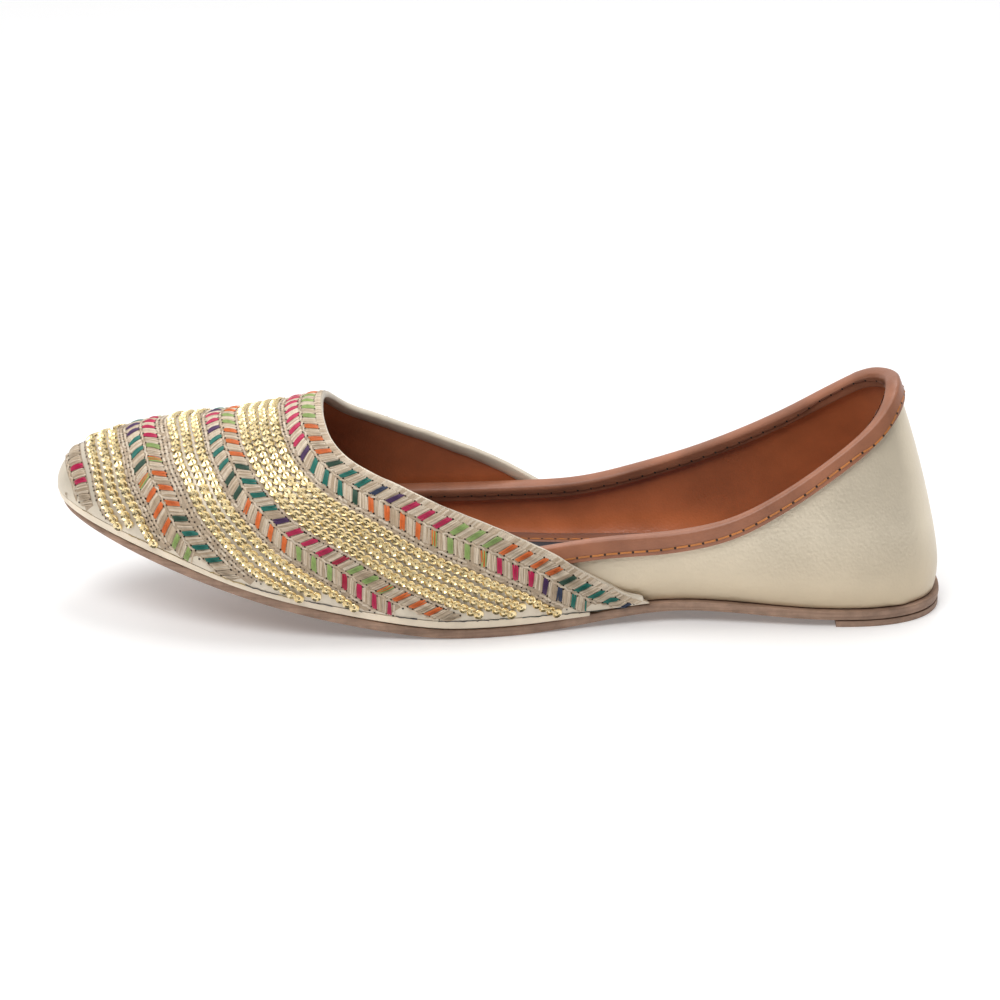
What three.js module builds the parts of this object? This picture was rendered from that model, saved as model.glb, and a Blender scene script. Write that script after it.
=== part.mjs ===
// An embroidered leather slipper for the right foot, standing empty on its sole.
// Millimetres, +Z up. The toe points to -X, the heel to +X, and the inner side of the foot is -Y.
// Every curved piece is worked out from one form, the last, whose surface is the outside of the quarters.

import * as THREE from "three";
import { mergeVertices } from "three/addons/utils/BufferGeometryUtils.js";

// Sole
const soleLength = 252;
const ballWidth = 80;
const heelWidth = 52.4;
const soleThickness = 2.8;
const soleToeThickness = 2.1;
const soleEdgeRound = { low: 0.5, high: 0.25 };
const toeSpring = 28.6;
const toeSpringPower = 1.4;
const archRise = 2.6;
const liftThickness = 1.7;
const liftLength = 31.5;
const liftInset = 0.4;

// Heights above the floor
const backHeight = 65.5;
const ridgeTopHeight = 90;

// Layers and clearances
const vampThickness = 1.8;
const quarterThickness = 1.6;
const bindingThickness = 1.2;
const insoleThickness = 2;
const clearance = 0.3;
const bindingDepth = { outside: 4.8, inside: 3.2 };
const randHeight = 2.8;
const randEndCut = 3;
const heelSeatInset = 0.6;
const seatBlend = 10;

// Swell of the upper over the feather line
const swellDepth = 2.4;
const heelSwellDepth = 0.7;
const swellHeight = 11;
const toeSwellHeight = 6;
const swellFade = 1.5;

// Under the vamp, the wings draw in at their top edge, to leave room for the binding
const wingTuckDepth = 2.2;
const wingTuckRun = 22;
const wingTuckPower = 1.5;

// Ends of the sole outline: length over which the edge rounds in, and how square the corner is
const toeCap = { inner: 75, outer: 86, power: 1.7 };
const heelCap = { inner: 30, outer: 30, power: 2.4 };

// Stations along the foot, from the toe
const flatStart = 112;
const flatEnd = 130;
const toeCentre = 14;
const toeFan = 45;
const heelCentre = 26;
const heelFan = 55;
const wingFront = 94;
const throatCrown = 73;
const throatTip = { inner: 166, outer: 157 };
const throatBend = { inner: 0.53, outer: 0.485 };
const throatRound = 24;

// Sole edge from the long axis, as shares of the local width; the width goes from ball to heel
const widthChange = { from: 0.42, to: 0.84 };
const outlineRows = [
  { at: 0.0, inner: 0.455, outer: 0.53 },
  { at: 0.3, inner: 0.457, outer: 0.535 },
  { at: 0.42, inner: 0.455, outer: 0.55 },
  { at: 0.5, inner: 0.44, outer: 0.56 },
  { at: 0.56, inner: 0.41, outer: 0.556 },
  { at: 0.62, inner: 0.38, outer: 0.545 },
  { at: 0.69, inner: 0.37, outer: 0.528 },
  { at: 0.76, inner: 0.432, outer: 0.507 },
  { at: 0.84, inner: 0.494, outer: 0.504 },
  { at: 1.0, inner: 0.5, outer: 0.5 },
];

// How far the ridge moves from the long axis to the middle of the outline
const ridgeOffsetShare = 0.5;

// Ridge of the last: height as a share of its top height, and how square the sections are
const ridgeRows = [
  { at: 0.05, height: 0.51, square: 2.0 },
  { at: 0.1, height: 0.553, square: 2.05 },
  { at: 0.16, height: 0.572, square: 2.1 },
  { at: 0.22, height: 0.592, square: 2.1 },
  { at: 0.29, height: 0.634, square: 2.1 },
  { at: 0.43, height: 0.72, square: 2.1 },
  { at: 0.52, height: 0.79, square: 2.1 },
  { at: 0.64, height: 0.89, square: 2.0 },
  { at: 0.76, height: 0.96, square: 1.8 },
  { at: 0.9, height: 0.95, square: 1.4 },
];

// Top edge of the quarters: height above the floor as a share of the back height
const toplineRows = [
  { at: 0.37, inner: 0.33, outer: 0.29 },
  { at: 0.48, inner: 0.35, outer: 0.3 },
  { at: 0.57, inner: 0.37, outer: 0.335 },
  { at: 0.62, inner: 0.385, outer: 0.375 },
  { at: 0.69, inner: 0.4, outer: 0.472 },
  { at: 0.76, inner: 0.465, outer: 0.605 },
  { at: 0.82, inner: 0.592, outer: 0.735 },
  { at: 0.88, inner: 0.735, outer: 0.87 },
  { at: 0.94, inner: 0.865, outer: 0.97 },
  { at: 1.0, inner: 1.0, outer: 1.0 },
];

// Height of the rand as a share of its full height, from the toe to where it ends under the vamp
const randRows = [
  { at: 0.0, height: 1.0 },
  { at: 0.12, height: 0.95 },
  { at: 0.19, height: 0.45 },
  { at: 0.24, height: 0.5 },
  { at: 0.3, height: 0.8 },
  { at: 0.42, height: 0.95 },
  { at: 0.54, height: 0.9 },
  { at: 0.61, height: 0.0 },
];

// Fineness of the meshes
const vampRows = 28;
const vampColumns = 36;
const vampRowPower = 1.5;
const quarterRows = 52;
const quarterColumns = 8;
const soleStations = 42;
const soleAcross = 4;
const insoleStations = 32;
const randStations = 54;
const liftStations = 28;
const rollSteps = 4;
const turnStep = 0.004;

// Small functions

function clamp(value, low, high) {
  return Math.min(Math.max(value, low), high);
}

function ease(value, from, to) {
  const t = clamp((value - from) / (to - from), 0, 1);
  return t * t * (3 - 2 * t);
}

function mix(a, b, t) {
  return a + (b - a) * t;
}

function softMax(a, b, round) {
  return (a + b + Math.hypot(a - b, round)) / 2;
}

// Value of a column of a table, on a smooth curve through its rows
function along(rows, column, share) {
  const last = rows.length - 1;
  let k = 0;
  while (k < last - 1 && share > rows[k + 1].at) {
    k += 1;
  }
  const slope = (i) => {
    const before = rows[Math.max(i - 1, 0)];
    const after = rows[Math.min(i + 1, last)];
    return (after[column] - before[column]) / (after.at - before.at);
  };
  const span = rows[k + 1].at - rows[k].at;
  const t = clamp((share - rows[k].at) / span, 0, 1);
  const start = rows[k][column];
  const end = rows[k + 1][column];
  const startPull = t * (1 - t) * (1 - t) * slope(k) * span;
  const endPull = t * t * (t - 1) * slope(k + 1) * span;
  return start + (end - start) * t * t * (3 - 2 * t) + startPull + endPull;
}

// Outline of the sole. A place on it is a turn from 0 at the toe along the inner side to 1 at the back of
// the heel, and on along the outer side to 2 at the toe again.

function stationOf(turn) {
  return (soleLength * (1 - Math.cos(Math.PI * turn))) / 2;
}

function turnOf(side, station) {
  const half = Math.acos(1 - (2 * clamp(station, 0, soleLength)) / soleLength) / Math.PI;
  return side === "inner" ? half : 2 - half;
}

function sideOf(turn) {
  return turn <= 1 ? "inner" : "outer";
}

function capAt(distance, length, power) {
  const left = clamp(1 - distance / length, 0, 1);
  return Math.pow(1 - Math.pow(left, power), 1 / power);
}

function halfWidth(side, station) {
  const share = station / soleLength;
  const local = mix(ballWidth, heelWidth, ease(share, widthChange.from, widthChange.to));
  const toe = capAt(station, toeCap[side], toeCap.power);
  const heel = capAt(soleLength - station, heelCap[side], heelCap.power);
  return local * along(outlineRows, side, share) * toe * heel;
}

function edgePoint(turn) {
  const wrapped = (turn + 2) % 2;
  const station = stationOf(wrapped);
  const side = sideOf(wrapped);
  const y = halfWidth(side, station) * (side === "inner" ? -1 : 1);
  return new THREE.Vector2(station, y);
}

// The same outline moved inwards by a distance
function insetPoint(turn, inset) {
  const before = edgePoint(turn - turnStep);
  const after = edgePoint(turn + turnStep);
  const inward = new THREE.Vector2(before.y - after.y, after.x - before.x).normalize();
  return edgePoint(turn).addScaledVector(inward, inset);
}

// Underside of the outsole: turned up at the toe, flat at the ball, arched, and level over the lift

const seatHeight = liftThickness + clearance;
const seatStart = soleLength - liftLength;

function undersideHeight(station) {
  const toe = clamp(1 - station / flatStart, 0, 1);
  const waist = clamp((station - flatEnd) / (seatStart - flatEnd), 0, 1);
  const arch = archRise * Math.sin(Math.PI * waist) ** 2;
  return toeSpring * Math.pow(toe, toeSpringPower) + arch + seatHeight * ease(waist, 0, 1);
}

function thicknessAt(station) {
  return mix(soleToeThickness, soleThickness, ease(station, 0, toeFan));
}

function featherHeight(station) {
  return undersideHeight(station) + thicknessAt(station) + clearance;
}

// The last. Each half section starts on the feather line and rises to the ridge over the spine.
// The sections fan out round the toe and round the heel.

const vampStack = vampThickness + clearance;

function spineStation(station) {
  const toe = clamp(1 - station / toeFan, 0, 1);
  const heel = clamp(1 - (soleLength - station) / heelFan, 0, 1);
  return station + toeCentre * toe * toe - heelCentre * heel * heel;
}

function featherPoint(turn) {
  const rear = ease(stationOf(turn), throatTip.inner - seatBlend, throatTip.inner + seatBlend);
  return insetPoint(turn, mix(vampStack, heelSeatInset, rear));
}

function spinePoint(turn) {
  const station = spineStation(stationOf(turn));
  const offset = (halfWidth("outer", station) - halfWidth("inner", station)) / 2;
  return new THREE.Vector2(station, offset * ridgeOffsetShare);
}

function ridgeHeight(turn) {
  return ridgeTopHeight * along(ridgeRows, "height", spineStation(stationOf(turn)) / soleLength);
}

function squareness(turn) {
  return along(ridgeRows, "square", spineStation(stationOf(turn)) / soleLength);
}

// Share of the way up a half section at a height above the feather line
function levelAt(turn, height) {
  const rise = ridgeHeight(turn) - featherHeight(stationOf(turn));
  const sine = Math.pow(clamp(height / rise, 0, 1), squareness(turn) / 2);
  return (Math.asin(sine) * 2) / Math.PI;
}

function lastPoint(turn, level) {
  const foot = featherPoint(turn);
  const spine = spinePoint(turn);
  const base = featherHeight(stationOf(turn));
  const power = 2 / squareness(turn);
  const angle = (level * Math.PI) / 2;
  const outShare = Math.pow(Math.max(Math.cos(angle), 0), power);
  const height = (ridgeHeight(turn) - base) * Math.pow(Math.sin(angle), power);
  const out = foot.clone().sub(spine);
  const reach = out.length();
  const station = stationOf(turn);
  const most = mix(swellDepth, heelSwellDepth, ease(station, soleLength - 2 * heelFan, soleLength));
  const widest = mix(toeSwellHeight, swellHeight, ease(station, 0, toeFan));
  const swell = most * (height / widest) * Math.exp(1 - height / widest);
  const settled = swell * Math.min(1, outShare * swellFade);
  out.multiplyScalar((reach * outShare + settled) / reach);
  return new THREE.Vector3(spine.x + out.x, spine.y + out.y, base + height);
}

// Mesh making

function keyOf(point) {
  return [point.x, point.y, point.z].map((value) => Math.round(value * 1e4)).join(",");
}

// Outward normals of a grid of points, shared by points that coincide
function gridNormals(grid) {
  const sums = new Map();
  const add = (point, normal) => {
    const key = keyOf(point);
    if (!sums.has(key)) {
      sums.set(key, new THREE.Vector3());
    }
    sums.get(key).add(normal);
  };
  for (let i = 0; i + 1 < grid.length; i += 1) {
    for (let j = 0; j + 1 < grid[i].length; j += 1) {
      const corners = [grid[i][j], grid[i + 1][j], grid[i + 1][j + 1], grid[i][j + 1]];
      const first = corners[2].clone().sub(corners[0]);
      const second = corners[3].clone().sub(corners[1]);
      const normal = first.cross(second);
      corners.forEach((corner) => add(corner, normal));
    }
  }
  return grid.map((row) => row.map((point) => sums.get(keyOf(point)).clone().normalize()));
}

// Closed mesh through a row of closed loops. An end that hasn't closed to a line gets a strip of faces
// between the two halves of its loop.
function loft(loops, closeStart, closeEnd) {
  const count = loops[0].length;
  const positions = loops.flat().flatMap((point) => [point.x, point.y, point.z]);
  const keys = loops.flat().map(keyOf);
  const index = [];
  const face = (a, b, c) => {
    if (keys[a] !== keys[b] && keys[b] !== keys[c] && keys[c] !== keys[a]) {
      index.push(a, b, c);
    }
  };
  const quad = (a, b, c, d) => {
    face(a, b, c);
    face(a, c, d);
  };
  for (let i = 0; i + 1 < loops.length; i += 1) {
    for (let j = 0; j < count; j += 1) {
      const next = (j + 1) % count;
      quad(i * count + j, (i + 1) * count + j, (i + 1) * count + next, i * count + next);
    }
  }
  const strip = (start, forwards) => {
    for (let j = 0; j < count / 2 - 1; j += 1) {
      const corners = [j, j + 1, count - 2 - j, count - 1 - j].map((k) => start + k);
      quad(...(forwards ? corners : corners.reverse()));
    }
  };
  if (closeStart) {
    strip(0, true);
  }
  if (closeEnd) {
    strip((loops.length - 1) * count, false);
  }
  return solid(positions, index);
}

function solid(positions, index) {
  const geometry = new THREE.BufferGeometry();
  geometry.setAttribute("position", new THREE.Float32BufferAttribute(positions, 3));
  geometry.setIndex(index);
  const merged = mergeVertices(geometry, 1e-4);
  if (signedVolume(merged) < 0) {
    merged.index.array.reverse();
  }
  merged.computeVertexNormals();
  return merged;
}

function signedVolume(geometry) {
  const position = geometry.attributes.position;
  const corner = (k) => new THREE.Vector3().fromBufferAttribute(position, geometry.index.getX(k));
  let total = 0;
  for (let k = 0; k < geometry.index.count; k += 3) {
    total += corner(k).dot(corner(k + 1).cross(corner(k + 2)));
  }
  return total;
}

function piece(name, geometry, colour, roughness, metalness) {
  const material = new THREE.MeshStandardMaterial({ color: colour, roughness, metalness });
  const mesh = new THREE.Mesh(geometry, material);
  mesh.name = name;
  return mesh;
}

// A wall between a grid of points on the last and the same grid moved along its normals.
// Its first and last points of each row lie level, as the edges of cut leather do.
function wallLoops(grid, normals, inner, outer, levelEnds) {
  return grid.map((row, i) => {
    const moved = (distance) =>
      row.map((point, j) => {
        const place = point.clone().addScaledVector(normals[i][j], distance);
        if (levelEnds.includes(j)) {
          place.z = point.z;
        }
        return place;
      });
    return [...moved(outer), ...moved(inner).reverse()];
  });
}

// Rand

const randEnd = randRows[randRows.length - 1].at * soleLength;

function randTop(station) {
  return station < randEnd ? randHeight * along(randRows, "height", station / soleLength) : 0;
}

function makeRand() {
  const grid = [];
  const start = turnOf("inner", randEnd - randEndCut);
  for (let i = 0; i <= randStations; i += 1) {
    const share = (2 * i) / randStations - 1;
    const turn = (start * share + 2) % 2;
    const top = randTop(stationOf(turn));
    grid.push([0, 0.5, 1].map((part) => lastPoint(turn, levelAt(turn, top * part))));
  }
  const normals = gridNormals(grid);
  const loops = wallLoops(grid, normals, clearance, vampStack, [0, 2]);
  return loft(loops, true, true);
}

// Vamp

function throatStation(side, level) {
  const straight = throatTip[side] - ((throatTip[side] - throatCrown) * level) / throatBend[side];
  return softMax(throatCrown, straight, throatRound);
}

function vampPoint(row, column) {
  const across = (2 * column) / vampColumns - 1;
  const side = across < 0 ? "inner" : "outer";
  const up = 1 - Math.abs(across);
  const station = throatStation(side, up) * Math.pow(row / vampRows, vampRowPower);
  const turn = turnOf(side, station);
  const low = levelAt(turn, randTop(station) + clearance);
  return lastPoint(turn, mix(low, 1, up));
}

function makeVamp() {
  const grid = [];
  for (let row = 0; row <= vampRows; row += 1) {
    const points = [];
    for (let column = 0; column <= vampColumns; column += 1) {
      points.push(vampPoint(row, column));
    }
    grid.push(points);
  }
  const normals = gridNormals(grid);
  const loops = wallLoops(grid, normals, clearance, vampStack, [0, vampColumns]);
  return loft(loops, false, true);
}

// Quarters, and the points that their binding follows

function toplineHeight(turn) {
  const station = stationOf(turn);
  return backHeight * along(toplineRows, sideOf(turn), station / soleLength);
}

function quarterGrid() {
  const grid = [];
  const start = turnOf("inner", wingFront);
  const end = turnOf("outer", wingFront);
  for (let i = 0; i <= quarterRows; i += 1) {
    const turn = mix(start, end, i / quarterRows);
    const top = toplineHeight(turn) - featherHeight(stationOf(turn));
    const points = [];
    for (let j = 0; j <= quarterColumns; j += 1) {
      points.push(lastPoint(turn, levelAt(turn, (top * j) / quarterColumns)));
    }
    grid.push(points);
  }
  const normals = gridNormals(grid);
  return grid.map((row, i) => row.map((point, j) => tuckedIn(point, normals[i][j], j / quarterColumns)));
}

function tuckedIn(point, normal, part) {
  const under = 1 - ease(point.x, throatTip.inner - wingTuckRun, throatTip.inner);
  const inward = clearance / 2 + wingTuckDepth * Math.pow(part, wingTuckPower);
  return point.clone().addScaledVector(normal, -inward * under);
}

function makeQuarters(grid, normals) {
  return loft(wallLoops(grid, normals, -quarterThickness, 0, [0]), true, true);
}

// The binding's section, as distances out from the wall and down from its top edge
function bindingSection() {
  const slot = clearance;
  const outside = slot + bindingThickness;
  const inside = -quarterThickness - clearance;
  const far = inside - bindingThickness;
  const middle = (outside + far) / 2;
  const radius = (outside - far) / 2;
  const section = [[outside, bindingDepth.outside]];
  for (let k = 0; k <= rollSteps; k += 1) {
    const angle = (Math.PI * k) / rollSteps;
    const up = clearance + bindingThickness * Math.sin(angle);
    section.push([middle + radius * Math.cos(angle), -up]);
  }
  section.push([far, bindingDepth.inside], [inside, bindingDepth.inside], [inside, -clearance]);
  section.push([slot, -clearance], [slot, bindingDepth.outside]);
  return section;
}

function makeBinding(grid, normals) {
  const section = bindingSection();
  const loops = grid.map((row, i) => {
    const top = row[quarterColumns];
    const out = normals[i][quarterColumns];
    const down = row[quarterColumns - 2].clone().sub(top).normalize();
    return section.map(([outward, drop]) => {
      const place = top.clone().addScaledVector(out, outward);
      return place.addScaledVector(down, drop);
    });
  });
  return loft(loops, true, true);
}

// Sole pieces

// A closed sheet between the two edges of an outline, with the heights of its lower and upper faces
function sheetLoop(turn, insets, heights, across) {
  const inner = turn;
  const outer = 2 - turn;
  const level = (inset, height) => {
    const from = insetPoint(inner, inset);
    const to = insetPoint(outer, inset);
    const points = [];
    for (let k = 0; k <= across; k += 1) {
      const place = from.clone().lerp(to, k / across);
      points.push(new THREE.Vector3(place.x, place.y, height));
    }
    return points;
  };
  const low = level(insets.low, heights.low);
  const high = level(insets.high, heights.high).reverse();
  const sideAt = (at) => {
    const place = insetPoint(at, insets.side);
    return new THREE.Vector3(place.x, place.y, (heights.low + heights.high) / 2);
  };
  return [...low, sideAt(outer), ...high, sideAt(inner)];
}

function makeOutsole() {
  const loops = [];
  for (let i = 0; i <= soleStations; i += 1) {
    const turn = i / soleStations;
    const low = undersideHeight(stationOf(turn));
    const high = low + thicknessAt(stationOf(turn));
    const insets = { low: soleEdgeRound.low, side: 0, high: soleEdgeRound.high };
    loops.push(sheetLoop(turn, insets, { low, high }, soleAcross));
  }
  return loft(loops, false, false);
}

function makeInsole() {
  const inset = vampStack + quarterThickness + clearance;
  const loops = [];
  for (let i = 0; i <= insoleStations; i += 1) {
    const turn = i / insoleStations;
    const low = featherHeight(stationOf(turn));
    const insets = { low: inset, side: inset, high: inset };
    loops.push(sheetLoop(turn, insets, { low, high: low + insoleThickness }, soleAcross));
  }
  return loft(loops, false, false);
}

function makeLift() {
  const shape = new THREE.Shape();
  const start = turnOf("inner", seatStart);
  for (let i = 0; i <= liftStations; i += 1) {
    const place = insetPoint(mix(start, 2 - start, i / liftStations), liftInset);
    if (i === 0) {
      shape.moveTo(place.x, place.y);
    } else {
      shape.lineTo(place.x, place.y);
    }
  }
  shape.closePath();
  return new THREE.ExtrudeGeometry(shape, { depth: liftThickness, bevelEnabled: false });
}

// The shoe, with the middle of its box over the origin

const shoe = new THREE.Group();
const quarters = quarterGrid();
const quarterNormals = gridNormals(quarters);
shoe.add(piece("outsole", makeOutsole(), 0x8f6a58, 0.75, 0));
shoe.add(piece("heel_lift", makeLift(), 0x8c6455, 0.8, 0));
shoe.add(piece("insole", makeInsole(), 0x3f4448, 0.7, 0));
shoe.add(piece("rand", makeRand(), 0xd8ccb4, 0.45, 0.1));
shoe.add(piece("upper_vamp", makeVamp(), 0xc8b9a5, 0.6, 0.1));
shoe.add(piece("upper_quarters", makeQuarters(quarters, quarterNormals), 0xd4c8af, 0.4, 0.15));
shoe.add(piece("topline_binding", makeBinding(quarters, quarterNormals), 0xb07358, 0.55, 0));

const box = new THREE.Box3().setFromObject(shoe);
const middle = box.getCenter(new THREE.Vector3());
shoe.position.set(-middle.x, -middle.y, -box.min.z);

export default shoe;
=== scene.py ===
"""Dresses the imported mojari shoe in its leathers, silk and sequins, under soft studio light."""

import math
import random

import bmesh
import bpy
from bpy.props import FloatProperty, FloatVectorProperty, PointerProperty
from mathutils import Matrix, Vector
from mathutils.bvhtree import BVHTree


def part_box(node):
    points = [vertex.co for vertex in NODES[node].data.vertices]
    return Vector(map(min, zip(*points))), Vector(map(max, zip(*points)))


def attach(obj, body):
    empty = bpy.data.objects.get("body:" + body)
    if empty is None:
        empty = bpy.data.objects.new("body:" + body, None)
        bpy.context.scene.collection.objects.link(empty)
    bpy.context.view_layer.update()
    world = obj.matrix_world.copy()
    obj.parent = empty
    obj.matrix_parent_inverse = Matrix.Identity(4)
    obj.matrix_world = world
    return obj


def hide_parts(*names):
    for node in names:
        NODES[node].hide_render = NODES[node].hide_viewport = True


bl_info = {
    "name": "Embroidered mojari shoe",
    "version": (1, 0, 0),
    "blender": (4, 5, 0),
    "location": "3D View > Sidebar > Mojari",
    "description": "Leathers, embroidery and studio for an embroidered slipper",
    "category": "Object",
}

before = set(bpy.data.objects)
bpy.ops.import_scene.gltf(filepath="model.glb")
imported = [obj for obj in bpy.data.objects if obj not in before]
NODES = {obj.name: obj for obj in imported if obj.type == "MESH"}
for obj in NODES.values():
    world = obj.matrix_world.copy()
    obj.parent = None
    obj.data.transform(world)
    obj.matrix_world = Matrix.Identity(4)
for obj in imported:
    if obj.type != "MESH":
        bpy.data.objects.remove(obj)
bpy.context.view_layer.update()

MM = 0.001
BODY = "root"

# The middle of the foot's space, and where its walls turn round at the toe and at the heel
MIDDLE_LINE = -3.7 * MM
TOE_TURN = -92 * MM
HEEL_TURN = 86 * MM

# Steps along seams and bands, and how far each layer of the embroidery stands over the leather
SEAM_STEP = 0.8 * MM
GAP_SHADE_STEP = 1.5 * MM
BRAID_STEP = 1.25 * MM
EDGING_STEP = 0.62 * MM
GAP_SHADE_LIFT = 0.12 * MM
STRAND_LIFT = 0.14 * MM
HOLE_LIFT = 0.26 * MM
SEQUIN_LIFT = 0.42 * MM
SEQUIN_THREAD_LIFT = 0.55 * MM

# A sequin is flat out to a share of its radius, its rim rises, and it leans on the next by some degrees
SEQUIN_FLAT = 0.62
SEQUIN_CUP = 0.36 * MM
SEQUIN_THICKNESS = 0.12 * MM
SEQUIN_LEAN = -9

# How squarely a face of a wall looks outwards or inwards before it counts as the cut rim
FACING = 0.35

# How far the quarters' foot turns in, and from what height over the sole
FOOT_TUCK = 1.1 * MM
FOOT_HEIGHT = 10 * MM

# Thread colours of the herringbone, by letter. The bars of letter M mix two of them, strand by strand.
THREADS = {
    "P": (0.60, 0.012, 0.095),
    "R": (0.46, 0.012, 0.05),
    "N": (0.028, 0.045, 0.10),
    "V": (0.07, 0.02, 0.10),
    "T": (0.008, 0.19, 0.145),
    "D": (0.03, 0.09, 0.055),
    "O": (0.80, 0.18, 0.035),
    "G": (0.34, 0.48, 0.15),
    "E": (0.58, 0.46, 0.33),
}
MIXED_THREADS = "GO"
BEIGES = [(0.66, 0.52, 0.37), (0.74, 0.61, 0.46), (0.54, 0.41, 0.28), (0.80, 0.68, 0.53)]
GOLD_THREAD = (0.88, 0.70, 0.36)
# Painted shade: colour of the ribbons laid under the bands, darkening the gaps between the strands
STRAND_GAP_SHADE = (0.47, 0.36, 0.25)
ORANGE_THREAD = (0.62, 0.22, 0.05)
BROWN_THREAD = (0.24, 0.085, 0.04)
REMNANTS = [(0.02, 0.05, 0.04), (0.02, 0.02, 0.035), (0.55, 0.40, 0.16)]

# Bands of the embroidery by distance in mm from the throat edge, measured at the crown.
# A herringbone has a column of bars on each side of its braid. A run names the colours of its bars
# from the crown down the inner side, and its shift says how far they are moved down, in bars.
HERRINGBONES = [
    {"braid": 6.2, "column": 4.2, "short": 0.0,
     "throat": ("GGOOODTTNVPPPGGGOOOODTTTN", 0.4), "toe": ("PPPPVTTTDOOOOMGGMPPPVNTTT", 0.2)},
    {"braid": 29.0, "column": 4.1, "short": 0.3,
     "throat": ("GOOODTTTVPPPRGGMOOOE", 0.4), "toe": ("PVTTTDDOOOOGGGRPPPE", 0.0)},
    {"braid": 51.7, "column": 4.1, "short": 0.3,
     "throat": ("PPGMOOODTTTE", -0.15), "toe": ("VTTDMOOOGGE", 0.0)},
    {"braid": 72.9, "column": 3.6, "short": 0.2, "throat": ("EPPEEEEE", 0.0), "toe": None},
]

# First and last row of each band, its number of rows, and how far these stop short of its ends, in mm
SEQUIN_BANDS = [(13.7, 22.6, 4, 2.0), (36.0, 42.8, 3, 0.6), (59.6, 65.8, 3, 0.3)]
GROUND_STRIPS = [
    (11.1, 12.2, 2, 4.0), (24.3, 24.4, 1, 9.0), (33.8, 34.7, 2, 2.0), (44.6, 47.0, 3, 7.0),
    (56.3, 58.2, 3, 2.0), (67.2, 67.3, 1, 1.0), (75.6, 81.0, 6, 0.3)]

# The bands draw together down the sides: share of the way down, and distance as a share of the crown's
DRAW_IN = [
    (0.0, 1.0), (0.09, 0.955), (0.2, 0.865), (0.275, 0.85),
    (0.46, 0.895), (0.66, 0.86), (0.92, 0.81), (1.0, 0.78)]

# Painted shade: how the quarters' colour deepens towards the sole, standing in for the shade low on the
# wall
QUARTER_PAINTED_SHADE = {"low": 6 * MM, "high": 27 * MM, "tint": (0.72, 0.67, 0.60)}

# The camera fitted to the photograph, and where the lights aim
CAMERA_PLACE = (0.0002, -1.2200, 0.4598)
CAMERA_TURN = math.radians(70.5)
CAMERA_LENS = 161.9
SHOE_MIDDLE = (0.0, 0.0, 0.03)

# Tones of the room: under eye level, the darker part behind the camera, the ceiling and the far side
LOW_ROOM = (0.85, 0.85, 0.85)
DARK_ROOM = (0.03, 0.025, 0.02)
CEILING = (1.0, 1.0, 1.0)
FAR_ROOM = (1.3, 1.3, 1.3, 1.0)

# Soft creases in mm: middle, direction, half length, width and rise; troughs have a negative rise
VAMP_CREASES = [
    ((-14, -36, 24), (0.6, 0.0, 1.0), 16, 5, -0.45),
    ((-2, -35, 22), (0.5, 0.0, 1.0), 13, 5, 0.35),
    ((-12, 30, 26), (0.5, 0.0, 1.0), 16, 5, -0.45),
    ((-82, -20, 28), (1.0, 0.1, 0.4), 14, 6, -0.3),
]
QUARTER_CREASES = [
    ((52, -24, 16), (1.0, 0.0, 0.45), 18, 5, -0.5),
    ((66, -25, 24), (1.0, 0.0, 0.9), 16, 6, 0.4),
    ((84, -26, 24), (0.5, 0.1, 1.0), 16, 7, -0.4),
    ((96, -22, 14), (1.0, 0.3, 0.2), 14, 5, 0.35),
    ((58, 22, 18), (1.0, 0.0, 0.4), 18, 5, -0.5),
    ((84, 19, 24), (0.4, 0.0, 1.0), 16, 7, 0.4),
    ((108, -4, 28), (0.0, 0.2, 1.0), 15, 6, -0.35),
]


def size_in_mm(name, description, default):
    return FloatProperty(name=name, description=description, default=default * MM, unit="LENGTH")


def leather_colour(name, description, default):
    return FloatVectorProperty(
        name=name, description=description, default=default, subtype="COLOR", size=3, min=0.0, max=1.0)


class MojariSizes(bpy.types.PropertyGroup):
    """Sizes of the details."""

    seam_round: size_in_mm("Leather edge", "How far the cut edges of leather round over", 0.35)
    bar_pitch: size_in_mm("Bar pitch", "Distance from one coloured bar to the next", 5.0)
    strand_width: size_in_mm("Strand width", "Width of one silk strand", 0.42)
    strand_rise: size_in_mm("Strand rise", "How far a strand stands over the ground", 0.5)
    sequin_radius: size_in_mm("Sequin radius", "Radius of a round sequin", 1.4)
    sequin_hole: size_in_mm("Sequin hole", "Radius of the hole in a sequin", 0.36)
    sequin_pitch: size_in_mm("Sequin pitch", "Distance between sequins along a row", 2.35)
    ground_pitch: size_in_mm("Ground stitch pitch", "Distance between ground stitches along a row", 1.45)
    leather_stitch: size_in_mm("Leather stitch", "Length of a stitch of the binding", 3.4)


class MojariColours(bpy.types.PropertyGroup):
    """Colours of the leathers."""

    quarter: leather_colour("Quarters", "Pale gold leather of the quarters", (0.80, 0.70, 0.54))
    vamp: leather_colour("Vamp ground", "Cream leather under the embroidery", (0.68, 0.60, 0.48))
    rand: leather_colour("Rand", "Cream leather strip over the sole", (0.80, 0.69, 0.54))
    binding: leather_colour("Binding", "Tan leather of the topline", (0.34, 0.135, 0.072))
    lining: leather_colour("Lining", "Red brown lining leather", (0.58, 0.175, 0.065))
    sole: leather_colour("Sole edge", "Worn edge of the leather sole", (0.36, 0.228, 0.16))
    insole: leather_colour("Insole", "Dark slate cover of the insole", (0.035, 0.04, 0.05))


# Materials

def feed(tree, node, values):
    """Sets sockets of a node, each to a value or to what another node gives out."""
    for socket, value in values.items():
        if isinstance(value, bpy.types.NodeSocket):
            tree.links.new(value, node.inputs[socket])
        else:
            node.inputs[socket].default_value = value
    return node


def add_node(tree, kind, values):
    return feed(tree, tree.nodes.new(kind), values)


def set_stops(ramp, stops):
    """Gives a colour ramp its stops, each a position and a colour."""
    elements = ramp.color_ramp.elements
    while len(elements) < len(stops):
        elements.new(1.0)
    for element, (position, tone) in zip(elements, stops):
        element.position = position
        element.color = (*tone, 1.0)


def shade(tone, factor):
    return tuple(min(channel * factor, 1.0) for channel in tone)


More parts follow.
